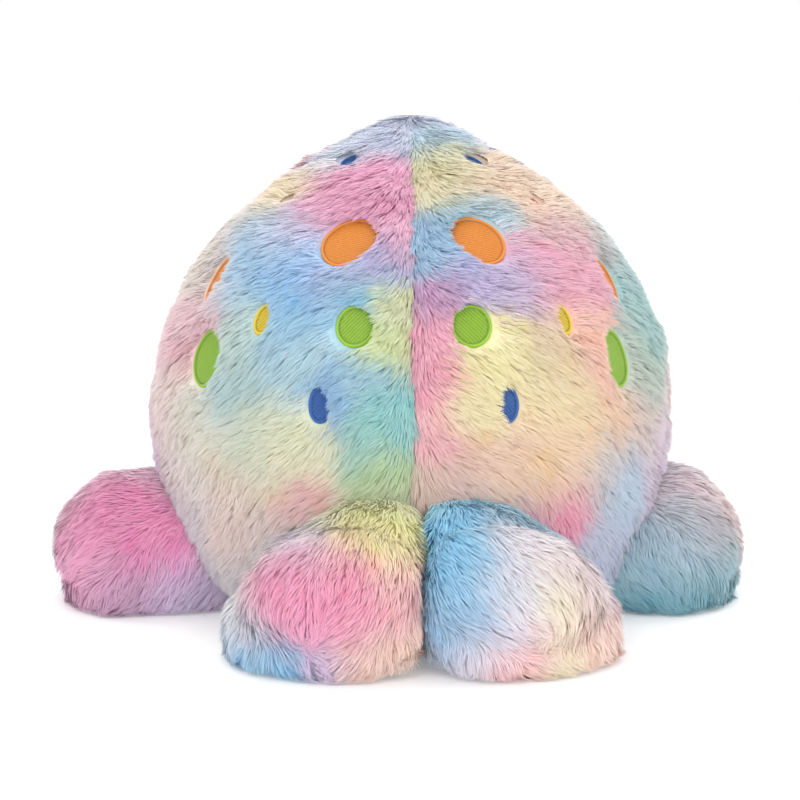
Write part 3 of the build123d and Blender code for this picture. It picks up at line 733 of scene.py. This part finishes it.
# ------------------------------------------------------------------ arms
def build_arm(arm):
    body = f"arm_{arm.name}"
    nu, nv = 120, 110
    theta = np.linspace(0, 2 * math.pi, nu, endpoint=False)
    s = np.linspace(0, PAW_S[-1] - 0.05, nv)
    T, S = (g.ravel() for g in np.meshgrid(theta, s, indexing="ij"))
    p, n, d = arm.local(T, S, np.full(len(T), 5.4))
    # painted shade: the backing is dimmed and greyed a little, as it lies under the pile
    col = saturate(arm.dye_and_painted_shading(p), 0.95) * 0.97
    uv = np.stack([T / (2 * math.pi) * 0.98, S / PAW_S[-1]], 1)
    faces = grid_faces(nu, nv, True)
    skin = make_mesh(f"{body}_skin", arm.world(p), faces, NO_TRIANGLES, SKIN, col, uv)
    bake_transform(skin)
    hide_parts(f"{body}_top", f"{body}_bottom", f"{body}_stuffing")
    # pile
    count = int(ARM_STRANDS * arm.density * DENSITY)
    fat = FUR_WIDTH * FAT / math.sqrt(arm.density) * 1.3
    sl = np.linspace(8, PAW_S[-1], 800)
    r = np.interp(sl, PAW_S, PAW_P[:, 1])
    cdf = np.concatenate([[0], np.cumsum((r[1:] + r[:-1]) / 2 * np.diff(sl))])
    s = np.interp((np.arange(count) + RNG.random(count)) / count * cdf[-1], cdf, sl)
    theta = ((np.arange(count) * GOLDEN) % 1.0) * 2 * math.pi - math.pi + RNG.normal(0, 0.01, count)
    inset = np.full(count, FUR_ROOT)
    p, n, d = arm.local(theta, s, inset)
    w = arm.world(p)
    under = (n[:, 2] < -0.55) & (p[:, 2] < 6)
    keep = (body_depth(w) < 8) & ~(under & (RNG.random(count) < 0.8))
    theta, s, p, n, d, w, inset = (x[keep] for x in (theta, s, p, n, d, w, inset))
    e = 0.9
    pa, pb = arm.local(theta + e / 50, s, inset)[0], arm.local(theta - e / 50, s, inset)[0]
    pc, pd = arm.local(theta, np.minimum(s + e, PAW_S[-1]), inset)[0], arm.local(theta, s - e, inset)[0]
    g = unit(np.cross(arm.world(pa - pb), arm.world(pc - pd)))
    nw = arm.world(n)
    g = np.where((g * nw).sum(1, keepdims=True) < 0, -g, g)
    normal = unit(g * 0.6 + nw * 0.6)
    tip = unit(arm.world(pc - pd))
    out = unit(arm.r[None, :] * np.sign(p[:, 1:2]))
    top = np.clip(d / 12 + 0.5, 0, 1)[:, None]
    flow = tip * (0.45 + 0.55 * top) + out * (0.25 + 0.35 * np.clip(np.abs(p[:, 1:2]) / 50, 0, 1))
    flow = flow + np.array([0, 0, -1.0]) * (0.25 + 0.35 * (1 - top))
    swirl = noise(w, 30.0, 33)[:, None] * 0.5
    flow = flow + arm.r[None, :] * swirl
    flow = unit(flow - normal * (flow * normal).sum(1, keepdims=True))
    length = FUR_LENGTH * (0.95 + 0.25 * np.exp(-((d - 4) / 6) ** 2))
    col = arm.dye_and_painted_shading(p + RNG.normal(0, 2.2, p.shape))
    ob = strands(f"{body}_fur", w, normal, flow, length, fat, col)
    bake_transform(ob)


for arm in ARMS:
    build_arm(arm)

# ------------------------------------------------------------------ embroidery
THREADS = {
    "orange": (232, 138, 28),
    "green": (138, 184, 34),
    "yellow": (226, 196, 30),
    "blue": (26, 90, 168),
    "red": (190, 60, 74),
}
THREAD_MAT = dye_and_shading_material("satin thread", 0.45, Sheen_Weight=0.15, Specular_IOR_Level=0.5)


def build_spot(name, hole, thread, rows_angle):
    """A satin-stitched oval: ridged rows inside, a raised border of crossing stitches round it."""
    fill_pitch, edge_pitch, border = 1.7, 1.5, 2.2
    rings, seg = (26, 150) if min(hole.a, hole.b) > 9 else (16, 96)
    rho = np.concatenate([np.linspace(0.001, 0.80, rings), np.linspace(0.84, 1.0, 9)])
    ang = np.linspace(0, 2 * math.pi, seg, endpoint=False)
    A, R = (g.ravel() for g in np.meshgrid(ang, rho, indexing="ij"))
    edge = np.hypot(hole.a * np.cos(A), hole.b * np.sin(A))
    inner = 1 - border / edge
    x, y = hole.a * R * np.cos(A) * 0.985, hole.b * R * np.sin(A) * 0.985
    t = np.clip((R - inner) / (1 - inner), 0, 1)
    is_edge = R > inner
    ca, sa = math.cos(rows_angle), math.sin(rows_angle)
    row = np.sin((x * ca + y * sa) * 2 * math.pi / fill_pitch)
    wave = np.sin(A * math.sqrt(hole.a * hole.b) * 2 * math.pi / edge_pitch)
    ridge = 1.15 * np.sqrt(np.clip(1 - (2 * t - 1) ** 2, 0, 1)) + 0.16 * wave
    h = np.where(is_edge, ridge, 0.15 + 0.22 * row)
    speck = hash3((x * 2.2).astype(np.int64), (y * 1.4).astype(np.int64), np.zeros(len(x), np.int64), 5)
    # painted light and shade: the raised border and the ridge tops are lighter than the sunken fill and
    # its furrows, and a dark ring is painted where the border meets the fill; the specks are the thread's
    # own random tone
    thread_speck_and_painted_shading = np.where(is_edge, 1.02 + 0.12 * wave, 0.72 + 0.13 * row + 0.14 * (speck - 0.5))
    thread_speck_and_painted_shading *= 1 - 0.5 * np.exp(-(((R - inner) * edge / 0.5) ** 2))
    col = np.clip(srgb(THREADS[thread])[None, :] * thread_speck_and_painted_shading[:, None], 0, 0.95)
    p = hole.c + x[:, None] * hole.x + y[:, None] * hole.y
    # drop the flat oval on to the body and sink it
    phi = np.arctan2(p[:, 0], -p[:, 1])
    d = p - hole.c
    s = hole.s + d @ np.cross(hole.n, [math.cos(hole.phi), math.sin(hole.phi), 0.0])
    q, n = body_base(phi, s)
    q = q - n * (SPOT_INSET + body_dip(q) - h)[:, None]
    uv = np.stack([0.5 + x / hole.a * 0.49, 0.5 + y / hole.b * 0.49], 1)
    faces = grid_faces(seg, len(rho), True)
    ob = make_mesh(name + "_stitches", q, faces, NO_TRIANGLES, THREAD_MAT, col, uv)
    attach(ob, "body")
    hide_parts(name)


for side, sign in (("left", -1), ("right", 1)):
    for name, az, z, w, h, tilt, thread in SPOTS:
        build_spot(f"spot_{name}_{side}", HOLES[f"spot_{name}_{side}"], thread, sign * 0.7)


# ------------------------------------------------------------------ smile and the CAD pieces that show
def body_surface(az_deg, z, inset):
    phi, s = np.radians(np.atleast_1d(az_deg)), s_at_height(np.atleast_1d(z))
    return body_point(phi, s, np.full(len(phi), float(inset)))


def build_smile():
    n, m = 90, 10
    t = np.radians(np.linspace(-33, 33, n))
    x, z = 42 * np.sin(t), 166 - 42 * np.cos(t)
    phi = math.pi - np.arcsin(x / 150.0)
    c = body_surface(np.degrees(phi), z, 2.2)
    _, nrm = body_base(phi, s_at_height(z))
    tan = unit(np.gradient(c, axis=0))
    b = unit(np.cross(tan, nrm))
    a = np.linspace(0, 2 * math.pi, m, endpoint=False)
    rr = 1.7 + 0.12 * np.sin(np.arange(n) * 2.4)
    ca, sa = np.cos(a)[None, :, None], np.sin(a)[None, :, None]
    v = c[:, None] + (ca * b[:, None] + sa * nrm[:, None]) * rr[:, None, None]
    i = np.arange(n - 1)[:, None]
    j = np.arange(m)[None, :]
    k = (j + 1) % m
    f = np.stack([i * m + j, i * m + k, (i + 1) * m + k, (i + 1) * m + j], -1).reshape(-1, 4)
    ob = make_mesh("smile_thread", v.reshape(-1, 3), f, NO_TRIANGLES,
                   material("dark thread", srgb((40, 38, 44)), 0.5, Sheen_Weight=0.2))
    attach(ob, "body")
    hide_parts("smile_stitching")


build_smile()

LOOKS = {
    "eye": material("safety eye", (0.010, 0.010, 0.012), 0.08, Coat_Weight=0.6, Coat_Roughness=0.03),
    "washer": material("locking washer", (0.82, 0.82, 0.80), 0.6),
    "base": material("base plush", srgb((214, 204, 220)), 0.95, Sheen_Weight=0.4, Sheen_Roughness=0.5),
}
for node, look in (
    ("eye_left", "eye"),
    ("eye_right", "eye"),
    ("eye_washer_left", "washer"),
    ("eye_washer_right", "washer"),
    ("base_panel", "base"),
):
    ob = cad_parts[node]
    ob.data.materials.clear()
    ob.data.materials.append(LOOKS[look])

# ------------------------------------------------------------------ stage
bpy.ops.mesh.primitive_plane_add(size=14, location=(0, 0, -0.0005))
floor = bpy.context.object
floor.name = "floor"
glow = {"Emission_Color": (1, 1, 1, 1), "Emission_Strength": 0.16}
floor.data.materials.append(material("pale floor", (0.95, 0.95, 0.95), 0.9, **glow))


def area_light(name, loc, target, size, power, colour=(1, 1, 1)):
    d = bpy.data.lights.new(name, "AREA")
    d.shape, d.size, d.energy, d.color = "DISK", size, power, colour
    o = bpy.data.objects.new(name, d)
    o.location = loc
    o.rotation_euler = (Vector(target) - Vector(loc)).to_track_quat("-Z", "Y").to_euler()
    bpy.context.scene.collection.objects.link(o)


area_light("key", (-1.1, -1.7, 1.7), (0, 0, 0.12), 1.3, 13, (1.0, 0.99, 0.97))
area_light("fill", (1.0, -1.9, 0.7), (0, 0, 0.08), 1.4, 12)
area_light("top", (0.1, 0.3, 2.2), (0, 0, 0.1), 1.6, 9)
area_light("rim", (0.3, 1.9, 1.4), (0, 0, 0.14), 1.4, 10)
world = bpy.data.worlds.new("studio")
world.use_nodes = True
world.node_tree.nodes["Background"].inputs[0].default_value = (1, 1, 1, 1)
world.node_tree.nodes["Background"].inputs[1].default_value = 1.0
bpy.context.scene.world = world
bpy.context.scene.view_settings.view_transform = "Standard"

cam = bpy.data.cameras.new("camera")
cam.lens = 85
camera = bpy.data.objects.new("camera", cam)
camera.location = (-0.007, -1.112, 0.326)
camera.rotation_euler = (Vector((-0.007, 0, 0.110)) - camera.location).to_track_quat("-Z", "Y").to_euler()
bpy.context.scene.collection.objects.link(camera)
bpy.context.scene.camera = camera
